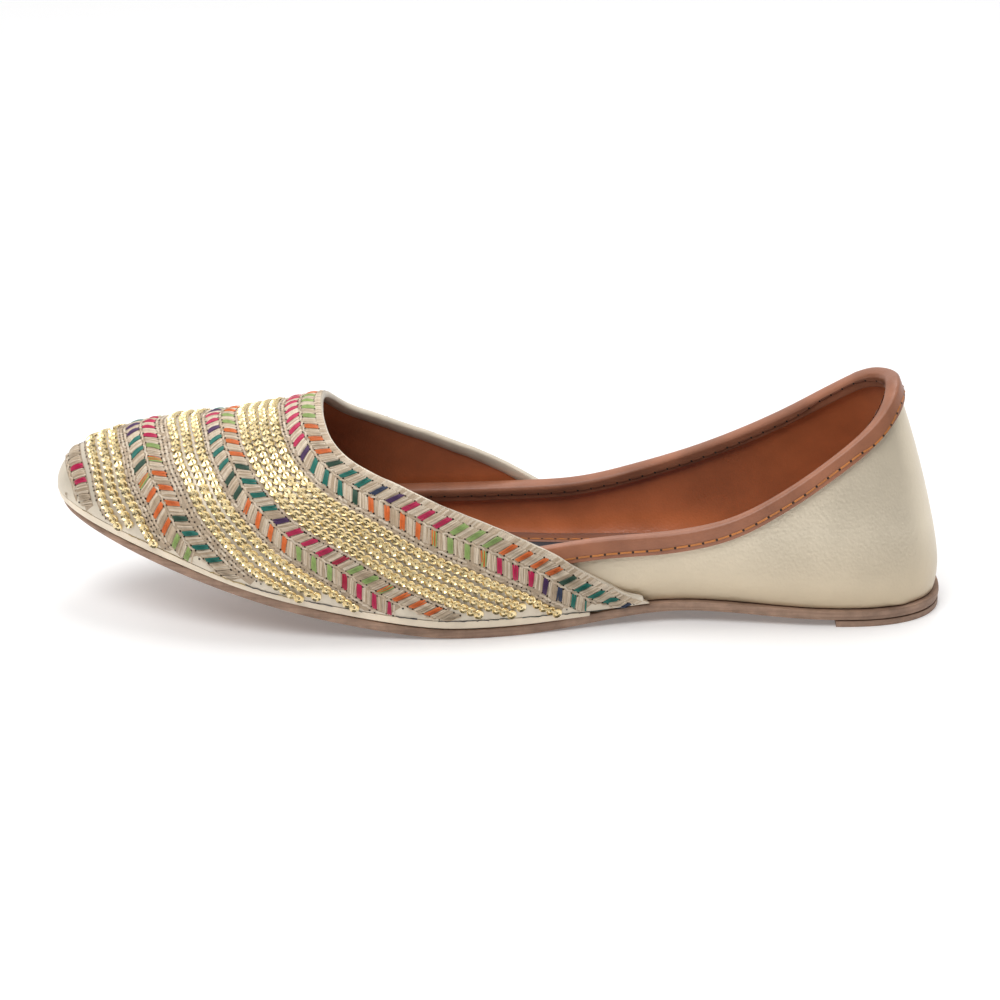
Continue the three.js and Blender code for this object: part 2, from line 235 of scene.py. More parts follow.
class Finish:
    """A material, with its shader and the nodes that feed it."""

    def __init__(self, name):
        self.material = bpy.data.materials.new(name)
        self.material.use_nodes = True
        self.tree = self.material.node_tree
        self.place = self.add("ShaderNodeTexCoord", {}).outputs["Object"]

    def add(self, kind, values):
        return add_node(self.tree, kind, values)

    def shader(self, values):
        """Feeds the shader, and gives back the finished material."""
        feed(self.tree, self.tree.nodes["Principled BSDF"], values)
        return self.material

    def noise(self, source, scale, detail, roughness=0.55):
        values = {"Vector": source, "Scale": scale, "Detail": detail, "Roughness": roughness}
        return self.add("ShaderNodeTexNoise", values).outputs["Fac"]

    def mapped(self, source, values):
        return self.add("ShaderNodeMapRange", {"Value": source, **values}).outputs["Result"]

    def tones(self, source, low, high, start=0.35, end=0.65):
        ramp = self.add("ShaderNodeValToRGB", {"Fac": source})
        set_stops(ramp, [(start, low), (end, high)])
        return ramp.outputs["Color"]

    def stretched(self, source, scale):
        return self.add("ShaderNodeMapping", {"Vector": source, "Scale": scale}).outputs["Vector"]

    def multiplied(self, first, second, factor=1.0):
        mixer = self.tree.nodes.new("ShaderNodeMix")
        mixer.data_type = "RGBA"
        mixer.blend_type = "MULTIPLY"
        return feed(self.tree, mixer, {"Factor": factor, 6: first, 7: second}).outputs[2]

    def bump(self, height, strength, distance, under=None):
        values = {"Height": height, "Strength": strength, "Distance": distance}
        if under is not None:
            values["Normal"] = under
        return self.add("ShaderNodeBump", values).outputs["Normal"]


def leather(name, tone, roughness, grain, depth, metallic=0.0, coat=0.0, contrast=0.12, foot=None):
    """Grained leather: pebbles between fine creases, soft clouds of colour and uneven gloss.

    A foot says where and how the colour deepens towards the floor: painted shade low on the wall.
    """
    finish = Finish(name)
    clouds = finish.noise(finish.place, 70.0, 5.0)
    skin = finish.tones(clouds, shade(tone, 1.0 - contrast), shade(tone, 1.0 + contrast))
    # Painted shade: the colour darkens towards the floor, by height
    if foot is not None:
        height = finish.add("ShaderNodeSeparateXYZ", {"Vector": finish.place}).outputs["Z"]
        part = finish.mapped(height, {"From Min": foot["low"], "From Max": foot["high"]})
        skin = finish.multiplied(skin, finish.tones(part, foot["tint"], (1.0, 1.0, 1.0), 0.0, 1.0))
    pebbles = finish.add("ShaderNodeTexVoronoi", {"Vector": finish.place, "Scale": 1.0 / grain})
    pebbles.feature = "SMOOTH_F1"
    fine = finish.noise(finish.place, 2.5 / grain, 3.0)
    low = finish.bump(pebbles.outputs["Distance"], 0.6, depth)
    return finish.shader({
        "Base Color": skin,
        "Normal": finish.bump(fine, 0.35, depth * 0.6, low),
        "Roughness": finish.mapped(clouds, {"To Min": roughness - 0.07, "To Max": roughness + 0.07}),
        "Metallic": metallic,
        "Coat Weight": coat,
        "Coat Roughness": 0.25,
    })


def sole_leather(name, tone):
    """Cut edge of sole leather: thin layers along the edge, dark rubs and small scratches."""
    finish = Finish(name)
    rubs = finish.noise(finish.place, 120.0, 6.0, 0.65)
    layers = finish.noise(finish.stretched(finish.place, (40.0, 40.0, 1500.0)), 1.0, 3.0)
    rubbed = finish.tones(rubs, shade(tone, 0.62), shade(tone, 1.35), 0.3, 0.7)
    layered = finish.tones(layers, (0.6, 0.55, 0.5), (1.0, 1.0, 1.0), 0.35, 0.55)
    low = finish.bump(layers, 0.4, 0.15 * MM)
    return finish.shader({
        "Base Color": finish.multiplied(rubbed, layered, 0.55),
        "Normal": finish.bump(rubs, 0.4, 0.2 * MM, low),
        "Roughness": 0.62,
    })


def silk(name):
    """Silk thread coloured by the piece's thread attribute, with fibres along each stitch."""
    finish = Finish(name)
    thread = finish.add("ShaderNodeAttribute", {})
    thread.attribute_name = "thread"
    fibre_map = finish.add("ShaderNodeUVMap", {})
    fibre_map.uv_map = "fibre"
    fibres = finish.noise(finish.stretched(fibre_map.outputs["UV"], (2.0, 9.0, 1.0)), 1.6, 2.0)
    tones = finish.tones(fibres, (0.68, 0.66, 0.64), (1.0, 1.0, 1.0), 0.3, 0.6)
    return finish.shader({
        "Base Color": finish.multiplied(thread.outputs["Color"], tones),
        "Normal": finish.bump(fibres, 0.5, 0.08 * MM),
        "Roughness": 0.5,
        "Sheen Weight": 0.15,
        "Sheen Roughness": 0.4,
    })


def speckled(name, scale, detail, low, high, values):
    """A plain finish between two tones."""
    finish = Finish(name)
    clouds = finish.noise(finish.place, scale, detail)
    return finish.shader({"Base Color": finish.tones(clouds, low, high), **values})


def sequin_gold(name):
    shine = {"Metallic": 0.92, "Roughness": 0.27}
    return speckled(name, 900.0, 2.0, (0.84, 0.64, 0.30), (0.94, 0.80, 0.50), shine)


def dark_hole(name):
    return speckled(name, 1500.0, 1.0, (0.012, 0.007, 0.004), (0.06, 0.035, 0.02), {"Roughness": 0.9})


def floor_paint(name):
    """Pale paint with a faint glow, so that the floor stays white up to the horizon."""
    glow = {"Roughness": 0.3, "Emission Color": (1.0, 0.99, 0.99, 1.0), "Emission Strength": 0.16}
    return speckled(name, 3.0, 2.0, (0.86, 0.86, 0.86), (0.88, 0.88, 0.88), glow)


# Pieces that stand for a CAD node

def refined(node, name, round_edge, levels=2):
    """A copy of a CAD node with its doubles merged, its cut edges rounded and its faces smooth."""
    shape = bmesh.new()
    shape.from_mesh(NODES[node].data)
    bmesh.ops.remove_doubles(shape, verts=shape.verts, dist=0.002 * MM)
    bmesh.ops.join_triangles(
        shape, faces=shape.faces, angle_face_threshold=math.radians(20),
        angle_shape_threshold=math.radians(70))
    piece = new_object(name, new_mesh(name, shape))
    edges = piece.modifiers.new("edges", "BEVEL")
    edges.width = round_edge
    edges.segments = 2
    edges.limit_method = "ANGLE"
    edges.angle_limit = math.radians(38)
    edges.use_clamp_overlap = True
    smooth = piece.modifiers.new("smooth", "SUBSURF")
    smooth.levels = levels
    smooth.render_levels = levels
    apply_modifiers(piece)
    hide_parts(node)
    return piece


def new_mesh(name, shape):
    mesh = bpy.data.meshes.new(name)
    shape.to_mesh(mesh)
    shape.free()
    return mesh


def new_object(name, data):
    item = bpy.data.objects.new(name, data)
    bpy.context.collection.objects.link(item)
    return item


def apply_modifiers(piece):
    graph = bpy.context.evaluated_depsgraph_get()
    shaped = bpy.data.meshes.new_from_object(piece.evaluated_get(graph))
    shaped.name = piece.name
    piece.modifiers.clear()
    piece.data = shaped
    shaped.shade_smooth()


def tree_of(name):
    shape = bmesh.new()
    shape.from_mesh(bpy.data.objects[name].data)
    tree = BVHTree.FromBMesh(shape)
    shape.free()
    return tree


def top_at(tree, x, y):
    """The top of a piece at a place, or None beside it."""
    return tree.ray_cast(Vector((x, y, 0.2)), Vector((0.0, 0.0, -1.0)), 0.3)[0]


def dress(piece, slot, *skins):
    """Gives a piece its materials and its place on the shoe."""
    for skin in skins:
        piece.data.materials.append(skin)
    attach(piece, BODY)
    return piece


# Lines and surfaces that the details follow

class SoleLine:
    """The middle and the top of the outsole along the shoe."""

    STEP = 3 * MM
    AXIS_HEIGHT = 9 * MM

    def __init__(self):
        low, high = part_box("outsole")
        self.start = low.x
        self.count = int((high.x - low.x) / self.STEP) + 1
        rows = [[] for _ in range(self.count + 1)]
        for vertex in NODES["outsole"].data.vertices:
            rows[int((vertex.co.x - self.start) / self.STEP)].append(vertex.co)
        filled = [(k, row) for k, row in enumerate(rows) if row]
        self.rows = [self.summary(k, filled) for k in range(self.count + 1)]

    def summary(self, k, filled):
        row = min(filled, key=lambda item: abs(item[0] - k))[1]
        low, high = min(p.y for p in row), max(p.y for p in row)
        return Vector(((low + high) / 2, max(p.z for p in row)))

    def at(self, x):
        place = min(max((x - self.start) / self.STEP, 0.0), self.count - 0.001)
        k = int(place)
        return self.rows[k].lerp(self.rows[min(k + 1, self.count)], place - k)

    def axis(self, x):
        """The middle of the foot's space over the sole."""
        middle, top = self.at(x)
        return Vector((x, middle, top + self.AXIS_HEIGHT))


def inside_axis(line, x):
    """The axis within the shoe beside a place, no further forward or back than the foot turns."""
    return line.axis(min(max(x, TOE_TURN), HEEL_TURN))


def paint_shell(piece, line):
    """Shares out a wall's three skins: outside, lining and cut rim."""
    outside, lining, rim = range(3)
    for face in piece.data.polygons:
        away = face.center - inside_axis(line, face.center.x)
        facing = face.normal.dot(away.normalized())
        if facing > FACING:
            face.material_index = outside
        elif facing < -FACING:
            face.material_index = lining
        else:
            face.material_index = rim


class EmbroideredSurface:
    """The vamp's outer face as a flat chart, with x along the shoe and girth from the crown line."""

    STEP = 1.5 * MM
    TURN = math.radians(2.0)
    LOW_TURN = math.radians(-48)
    FAR = 90 * MM
    LEAST_FACING = 0.25
    EDGE_RAYS = 170
    EDGE_STEP = 2.0 * MM
    END_ROOM = 0.8 * MM
    SLOPE_STATIONS = 12

    def __init__(self, line):
        self.line = line
        self.tree = tree_of("vamp_shell")
        low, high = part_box("upper_vamp")
        self.start = low.x + 2.4 * MM
        self.count = int((high.x - self.start) / self.STEP)
        self.crown = self.last_hit(math.pi / 2)
        self.sections = {side: [self.section(k, side) for k in range(self.count)] for side in (-1, 1)}
        self.girths = {side: self.half_girths(side) for side in (-1, 1)}
        self.edge = self.throat_edge()
        crown = min(range(len(self.edge)), key=lambda k: abs(self.edge[k].y))
        self.middle = crown / (len(self.edge) - 1)

    def hit(self, x, turn):
        axis = self.line.axis(x)
        out = Vector((0.0, -math.cos(turn), math.sin(turn)))
        point, normal, _, _ = self.tree.ray_cast(axis + out * self.FAR, -out, self.FAR)
        if point is None or normal.dot(out) < self.LEAST_FACING:
            return None
        return point

    def last_hit(self, turn):
        """Station of the throat edge at one turn round the axis."""
        x = self.start + (self.count + 1) * self.STEP
        while x > self.start and self.hit(x, turn) is None:
            x -= self.STEP
        return last_good(lambda place: self.hit(place, turn), x, x + self.STEP, 9)

    def section(self, k, side):
        """Points up one side at one station, from the feather line, with their distance from it."""
        x = self.start + k * self.STEP
        points = []
        turn = self.LOW_TURN
        while turn <= math.pi / 2 + 1e-6:
            point = self.side_hit(x, turn, side)
            if point is not None and not points:
                points.append(self.section_end(x, turn, turn - self.TURN, side))
            if point is not None:
                points.append(point)
            elif points:
                points.append(self.section_end(x, turn - self.TURN, turn, side))
                break
            turn += self.TURN
        total = 0.0
        rows = []
        for i, point in enumerate(points):
            total += (point - points[i - 1]).length if i else 0.0
            rows.append((total, point))
        return rows

    def side_hit(self, x, turn, side):
        return self.hit(x, turn if side < 0 else math.pi - turn)

    def section_end(self, x, good, bad, side):
        turn = last_good(lambda turn: self.side_hit(x, turn, side), good, bad, 8)
        return self.side_hit(x, turn, side)

    def half_girths(self, side):
        """Girth from the crown line to the feather, carried on evenly behind the throat's crown."""
        whole = [k for k in range(self.count) if self.start + k * self.STEP < self.crown - self.STEP]
        girths = {k: self.sections[side][k][-1][0] for k in whole}
        last = whole[-1]
        slope = (girths[last] - girths[last - self.SLOPE_STATIONS]) / self.SLOPE_STATIONS
        for k in range(last + 1, self.count):
            girths[k] = girths[last] + slope * (k - last)
        return girths

    def throat_edge(self):
        """The throat edge in the chart, from the inner tip over the crown to the outer tip."""
        low, high = self.LOW_TURN, math.pi - self.LOW_TURN
        raw = []
        for i in range(self.EDGE_RAYS + 1):
            turn = low + (high - low) * i / self.EDGE_RAYS
            x = self.last_hit(turn)
            side = -1 if turn < math.pi / 2 else 1
            k = min(max(int(round((x - self.start) / self.STEP)), 0), self.count - 1)
            rows = self.sections[side][k]
            point = self.hit(x, turn)
            if not rows or point is None:
                continue
            height = min(rows, key=lambda row: (row[1] - point).length)[0]
            girth = max(self.girths[side][k] - height, 0.0)
            raw.append(Vector((x, side * girth)))
        middle = len(raw) // 2
        first = max(range(middle), key=lambda i: raw[i].x)
        last = max(range(middle, len(raw)), key=lambda i: raw[i].x)
        return smooth_line(even_line(raw[first:last + 1], self.EDGE_STEP), 4)

    def place(self, x, girth):
        """The point over a place of the chart, or None where there is no leather."""
        side = -1 if girth < 0 else 1
        where = (x - self.start) / self.STEP
        k = int(where)
        if where < 0 or k + 1 >= self.count:
            return None
        first = self.point_at(k, side, abs(girth))
        second = self.point_at(k + 1, side, abs(girth))
        if first is None and second is None:
            return None
        if first is None or second is None:
            near = (second or first).copy()
            near.x = x
            return self.tree.find_nearest(near)[0]
        return first.lerp(second, where - k)

    def point_at(self, k, side, girth):
        rows = self.sections[side][k]
        height = self.girths[side][k] - girth
        if not rows or height < 0.0 or height > rows[-1][0] + self.END_ROOM:
            return None
        for i in range(len(rows) - 1):
            if rows[i + 1][0] >= height:
                span = max(rows[i + 1][0] - rows[i][0], 1e-9)
                return rows[i][1].lerp(rows[i + 1][1], (height - rows[i][0]) / span)
        return rows[-1][1].copy()

    def drawn_in(self, share):
        down = (self.middle - share) / self.middle
        if down < 0.0:
            down = (share - self.middle) / (1.0 - self.middle)
        return value_at(DRAW_IN, down)

    def spot(self, share, distance):
        """Point and outward normal at a share along the throat edge and a distance in from it."""
        place, inward = along_line(self.edge, share)
        at = place + inward * (distance * self.drawn_in(share))
        point = self.place(at.x, at.y)
        if point is None:
            return None
        normal = self.tree.find_nearest(point)[1]
        return point, normal


def last_good(hit, good, bad, rounds):
    """Narrows down where a surface ends, between a value that still hits it and one that doesn't."""
    for _ in range(rounds):
        middle = (good + bad) / 2
        if hit(middle) is None:
            bad = middle
        else:
            good = middle
    return good


def value_at(rows, value):
    """What a table of pairs gives at a value, on straight lines between its rows."""
    for before, after in zip(rows, rows[1:]):
        if value <= after[0]:
            part = (value - before[0]) / (after[0] - before[0])
            return before[1] + (after[1] - before[1]) * max(part, 0.0)
    return rows[-1][1]


def even_line(points, step):
    """The same line with its points an even step apart."""
    result = [points[0].copy()]
    left = step
    for i in range(1, len(points)):
        start = points[i - 1].copy()
        span = (points[i] - start).length
        while span >= left:
            start = start.lerp(points[i], left / span)
            result.append(start.copy())
            span -= left
            left = step
        left -= span
    result.append(points[-1].copy())
    return result


def smooth_line(points, rounds):
    for _ in range(rounds):
        inner = [(points[i - 1] + points[i] * 2 + points[i + 1]) / 4 for i in range(1, len(points) - 1)]
        points = [points[0], *inner, points[-1]]
    return points


def along_line(points, share):
    """Place on a line and the direction across it, on the toe side."""
    where = min(max(share, 0.0), 1.0) * (len(points) - 1)
    k = min(int(where), len(points) - 2)
    place = points[k].lerp(points[k + 1], where - k)
    before = points[max(k - 1, 0)].lerp(points[k], where - k) if k else points[0]
    after = points[k + 1].lerp(points[min(k + 2, len(points) - 1)], where - k)
    way = (after - before).normalized()
    return place, Vector((-way.y, way.x))


class Row:
    """A row of stitches at one distance from the throat edge, with its lengths from the crown."""

    STEPS = 320

    def __init__(self, surface, distance, short):
        self.surface = surface
        self.distance = distance * MM
        self.crown = surface.middle
        self.inner = self.half(-1, short * MM)
        self.outer = self.half(1, short * MM)

    def half(self, way, short):
        """Shares and lengths from the crown to one end of the row."""
        shares, lengths = [self.crown], [0.0]
        start = self.surface.spot(self.crown, self.distance)
        last = start[0] if start else None
        for i in range(1, self.STEPS):
            share = self.crown + way * i / self.STEPS
            if not 0.0 <= share <= 1.0:
                break
            spot = self.surface.spot(share, self.distance)
            if spot is None:
                if last is not None:
                    break
                continue
            length = lengths[-1] + ((spot[0] - last).length if last is not None else 0.0)
            shares.append(share)
            lengths.append(length)
            last = spot[0]
        return shares, lengths, lengths[-1] - short

    def share(self, length):
        """Share of the throat edge at a length from the crown: negative on the inner side."""
        shares, lengths, end = self.inner if length < 0 else self.outer
        reach = abs(length)
        if reach > end + 0.001 * MM:
            return None
        for i in range(len(lengths) - 1):
            if lengths[i + 1] >= reach:
                span = max(lengths[i + 1] - lengths[i], 1e-9)
                return shares[i] + (shares[i + 1] - shares[i]) * (reach - lengths[i]) / span
        return shares[-1]

    def ends(self):
        return -self.inner[2], self.outer[2]

    def numbers(self, step):
        """Numbers of the stitches from one end of the row to the other: 0 is at the crown."""
        low, high = self.ends()
        return range(math.ceil(low / step), int(high / step))

    def span(self, near, far):
        """Shares at two lengths, or None where one of them is past an end."""
        shares = self.share(near), self.share(far)
        return None if None in shares else shares


# Small things that repeat

class Cloth:
    """A mesh of many small pieces, gathered in short runs so that each run stays quick to build."""

    RUN = 60

    def __init__(self):
        self.whole = new_shape()
        self.part = new_shape()
        self.held = 0

    def ready(self):
        self.held += 1
        if self.held > self.RUN:
            self.gather()
        return self.part

    def gather(self):
        mesh = new_mesh("run", self.part)
        self.whole.from_mesh(mesh)
        bpy.data.meshes.remove(mesh)
        self.part = new_shape()
        self.held = 0

    def finish(self, name, material, slot):
        self.gather()
        self.part.free()
        return add_piece(name, self.whole, material, slot)


def new_shape():
    shape = bmesh.new()
    shape.loops.layers.uv.new("fibre")
    shape.verts.layers.float_color.new("thread")
    return shape


def add_piece(name, shape, material, slot):
    """A smooth piece of one material that belongs to the shoe."""
    mesh = new_mesh(name, shape)
    mesh.shade_smooth()
    return dress(new_object(name, mesh), slot, material)


STRAND_ARCH = [0.05, 0.8, 1.0, 0.8, 0.05]
SHORT_ARCH = [0.1, 1.0, 0.1]

# Strands in one turn of a herringbone: a coloured bar, a gap, beige strands and a gap
BAR_STRANDS = 13
COLOURED_STRANDS = 4
BAR_SLANT = math.radians(58)


def strand(cloth, spots, width, rise, colour, arch=STRAND_ARCH):
    """One strand of thread laid over a path of points and normals."""
    shape = cloth.ready()
    along = len(spots) - 1
    made = bmesh.ops.create_grid(shape, x_segments=along, y_segments=2, size=1.0, calc_uvs=True)
    thread = shape.verts.layers.float_color["thread"]
    for vertex in made["verts"]:
        i = min(int(round((vertex.co.x + 1) / 2 * along)), along)
        across = vertex.co.y
        point, normal = spots[i]
        ahead = spots[min(i + 1, along)][0] - spots[max(i - 1, 0)][0]
        side = normal.cross(ahead).normalized()
        lift = rise * arch[i] * (1.0 if abs(across) < 0.5 else 0.15)
        vertex.co = point + side * (across * width / 2) + normal * (lift + STRAND_LIFT)
        vertex[thread] = (*colour, 1.0)


def strand_between(cloth, surface, start, end, width, rise, colour, steps=4):
    """A strand from one place of the chart to another: each is a share and a distance."""
    spots = []
    for i in range(steps + 1):
        part = i / steps
        spot = surface.spot(start[0] + (end[0] - start[0]) * part, start[1] + (end[1] - start[1]) * part)
        if spot is None:
            return False
        spots.append(spot)
    arch = STRAND_ARCH if steps == 4 else SHORT_ARCH
    strand(cloth, spots, width, rise, colour, arch)
    return True


def beige_stitch(cloth, surface, shares, distances, width, rise, chance):
    """A short stitch of one of the beige threads, its width and rise in mm."""
    ends = zip(shares, distances)
    return strand_between(
        cloth, surface, *ends, width * MM, rise * MM, tinted(chance.choice(BEIGES), chance), 2)


def pinhole(cloth, spot, radius):
    """A dark hole at the end of a stitch."""
    point, normal = spot
    turn = normal.to_track_quat("Z", "Y").to_matrix().to_4x4()
    shape = cloth.ready()
    bmesh.ops.create_circle(
        shape, cap_ends=True, segments=6, radius=radius,
        matrix=Matrix.Translation(point + normal * HOLE_LIFT) @ turn)


def tinted(colour, chance, spread=0.1):
    factor = 1.0 + chance.uniform(-spread, spread)
    return shade(colour, factor)


def shade_under_strands(cloth, surface, first, last, short):
    """A darker ribbon under a band, from one distance to another: painted shade in the gaps between the
    strands.
    """
    row = Row(surface, (first + last) / 2, short)
    low, high = row.ends()
    if low >= 0.0 or high <= 0.0:
        return
    count = max(int((high - low) / GAP_SHADE_STEP), 1)
    shape = cloth.ready()
    made = bmesh.ops.create_grid(shape, x_segments=count, y_segments=2, size=1.0, calc_uvs=True)
    thread = shape.verts.layers.float_color["thread"]
    spot = surface.spot(row.share(0.0), row.distance)
    for vertex in made["verts"]:
        share = row.share(low + (high - low) * min((vertex.co.x + 1) / 2, 0.999))
        distance = first + (last - first) * (vertex.co.y + 1) / 2
        spot = surface.spot(share, distance * MM) or surface.spot(share, row.distance) or spot
        vertex.co = spot[0] + spot[1] * GAP_SHADE_LIFT
        vertex[thread] = (*STRAND_GAP_SHADE, 1.0)


def sew_herringbone(cloth, holes, surface, sizes, band, chance):
    """Two columns of slanted bars beside a braid, coloured bars taking turns with beige ones."""
    for run, way in ((band["throat"], -1), (band["toe"], 1)):
        if run is not None:
            ends = (band["braid"] + way * 0.5, band["braid"] + way * band["column"])
            row = Row(surface, (ends[0] + ends[1]) / 2, band["short"])
            sew_column(cloth, holes, surface, sizes, ends, *run, row, chance)
    sew_braid(cloth, surface, Row(surface, band["braid"], 0.5), chance)


def sew_column(cloth, holes, surface, sizes, ends, run, shift, row, chance):
    """One column of bars between two distances from the throat edge."""
    pitch = sizes.bar_pitch
    lean = abs(ends[1] - ends[0]) * MM / 2 / math.tan(BAR_SLANT)
    low, high = row.ends()
    step = pitch / BAR_STRANDS
    count = int((high - low) / step)
    first = math.ceil(low / step)
    for i in range(first, first + count + 1):
        bar = -(i // BAR_STRANDS)
        part = i % BAR_STRANDS
        length = i * step - shift * pitch
        coloured = part < COLOURED_STRANDS
        place = bar - 1 if bar > 0 else -bar
        letter = run[place % len(run)]
        drift = chance.uniform(-0.16, 0.16) * MM
        span = row.span(length + lean + drift, length - lean - drift)
        if span is None:
            continue
        if part in (COLOURED_STRANDS, BAR_STRANDS - 1):
            for share, distance in zip(span, ends):
                spot = surface.spot(share, distance * MM)
                if spot:
                    pinhole(holes, spot, chance.uniform(0.22, 0.34) * MM)
            continue
        if letter == "M":
            letter = MIXED_THREADS[part % 2]
        colour = THREADS[letter] if coloured else chance.choice(BEIGES)
        rise = sizes.strand_rise * (1.2 if coloured else chance.uniform(0.5, 0.85))
        start = (ends[0] + chance.uniform(-0.2, 0.15)) * MM
        end = (ends[1] + chance.uniform(-0.25, 0.2)) * MM
        width = sizes.strand_width * (1.1 if coloured else 0.92)
        strand_between(
            cloth, surface, (span[0], start), (span[1], end), width, rise, tinted(colour, chance))


def sew_braid(cloth, surface, row, chance):
    for i in row.numbers(BRAID_STEP):
        length = i * BRAID_STEP
        sway = (0.28 if i % 2 else -0.28) * MM
        span = row.span(length - 0.2 * MM, length + BRAID_STEP + 0.2 * MM)
        if span is not None:
            beige_stitch(cloth, surface, span, (row.distance - sway, row.distance + sway), 0.5, 0.5, chance)


def rows_of(band):
    """Number, distance and shortness of each row of a band or strip."""
    first, last, count, short = band
    gap = (last - first) / max(count - 1, 1)
    return [(number, first + number * gap, short) for number in range(count)]


def sew_ground(cloth, holes, surface, sizes, strip, chance):
    """Rows of short beige stitches with a dark hole between them."""
    step = sizes.ground_pitch
    for _, distance, short in rows_of(strip):
        row = Row(surface, distance, short + chance.uniform(0.0, 1.5))
        for i in row.numbers(step):
            length = (i + chance.uniform(-0.12, 0.12)) * step
            span = row.span(length, length + step * 0.95)
            if span is None:
                continue
            sway = chance.uniform(-0.35, 0.35) * MM
            distances = (row.distance - sway, row.distance + sway)
            sewn = beige_stitch(cloth, surface, span, distances, 0.6, 0.36, chance)
            if sewn and chance.random() < 0.75:
                spot = surface.spot(span[0], row.distance + 0.55 * MM)
                if spot:
                    pinhole(holes, spot, chance.uniform(0.2, 0.32) * MM)


def sew_edging(cloth, surface, chance):
    """Overcast stitches side by side over the throat edge."""
    row = Row(surface, 1.1, 0.3)
    for i in row.numbers(EDGING_STEP):
        span = row.span(i * EDGING_STEP, i * EDGING_STEP + 0.9 * MM)
        if span is not None:
            beige_stitch(cloth, surface, span, (0.15 * MM, 1.9 * MM), 0.62, 0.36, chance)


def lay_sequins(sequins, threads, holes, surface, sizes, band, chance):
    """Rows of round sequins, each resting on the next, under a gold thread."""
    step = sizes.sequin_pitch
    for number, distance, short in rows_of(band):
        row = Row(surface, distance, short + number % 2)
        shift = 0.5 * (number % 2)
        for i in row.numbers(step):
            length = (i + shift) * step
            span = row.span(length, length + step)
            if span is None:
                continue
            here, ahead = (surface.spot(share, row.distance) for share in span)
            if here is None or ahead is None:
                continue
            lay_sequin(sequins, here, ahead[0], sizes, chance)
            start, end = (point + normal * SEQUIN_THREAD_LIFT for point, normal in (here, ahead))
            lifted = [(start, here[1]), ((start + end) / 2, here[1]), (end, ahead[1])]
            strand(threads, lifted, 0.6 * MM, 0.3 * MM, tinted(GOLD_THREAD, chance, 0.15), SHORT_ARCH)
            pinhole(holes, (here[0] + here[1] * 0.5 * MM, here[1]), 0.22 * MM)


def lay_sequin(sequins, spot, ahead, sizes, chance):
    point, normal = spot
    along = (ahead - point).normalized()
    side = normal.cross(along).normalized()
    along = side.cross(normal)
    basis = Matrix((along, side, normal)).transposed().to_4x4()
    tilt = Matrix.Rotation(math.radians(SEQUIN_LEAN + chance.uniform(-4, 4)), 4, "Y")
    roll = Matrix.Rotation(math.radians(chance.uniform(-7, 7)), 4, "X")
    matrix = Matrix.Translation(point + normal * SEQUIN_LIFT) @ basis @ tilt @ roll
    shape = sequins.ready()
    radius = sizes.sequin_radius
    raised = matrix @ Matrix.Translation((0.0, 0.0, SEQUIN_CUP))
    rings = [
        bmesh.ops.create_circle(shape, segments=12, radius=size, matrix=place)
        for size, place in ((sizes.sequin_hole, matrix), (radius * SEQUIN_FLAT, matrix), (radius, raised))]
    edges = [{edge for vertex in ring["verts"] for edge in vertex.link_edges} for ring in rings]
    up = matrix.to_3x3() @ Vector((0.0, 0.0, 1.0))
    for inner, outer in zip(edges, edges[1:]):
        made = bmesh.ops.bridge_loops(shape, edges=list(inner | outer))
        for face in made["faces"]:
            face.normal_update()
            if face.normal.dot(up) < 0:
                face.normal_flip()


# Trims and stitches of the leathers

def swept(name, sections, material, slot):
    """A strip through rows of points, smooth, with an even fibre map."""
    shape = new_shape()
    along, across = len(sections) - 1, len(sections[0]) - 1
    made = bmesh.ops.create_grid(shape, x_segments=along, y_segments=across, size=1.0, calc_uvs=True)
    for vertex in made["verts"]:
        i = int(round((vertex.co.x + 1) / 2 * along))
        j = int(round((vertex.co.y + 1) / 2 * across))
        vertex.co = sections[i][j]
    return add_piece(name, shape, material, slot)


# Section of the turned throat edge in mm: along the leather from the edge, and out from its face
RIM_SECTION = [(1.0, 0.10), (0.3, 0.14), (-0.18, -0.1), (-0.3, -0.8), (-0.2, -1.6),
               (0.2, -1.98), (2.6, -1.98), (2.75, -1.85)]
RIM_STATIONS = 180
RIM_START = 0.35 * MM


def throat_rim(surface, material):
    """The cream leather turned over the throat edge and glued down inside."""
    sections = []
    for i in range(RIM_STATIONS + 1):
        share = i / RIM_STATIONS
        start = surface.spot(share, RIM_START)
        within = surface.spot(share, 3.2 * MM)
        if start is None or within is None:
            continue
        edge, normal = start[0], within[1]
        inward = (within[0] - edge).normalized()
        edge = edge - inward * RIM_START
        sections.append([edge + inward * part * MM + normal * out * MM for part, out in RIM_SECTION])
    for _ in range(3):
        sections = [sections[0]] + [
            [(before + here * 2 + after) / 4 for before, here, after in zip(*rows)]
            for rows in zip(sections, sections[1:], sections[2:])] + [sections[-1]]
    return swept("throat_rim", sections, material, "vamp_embroidery")


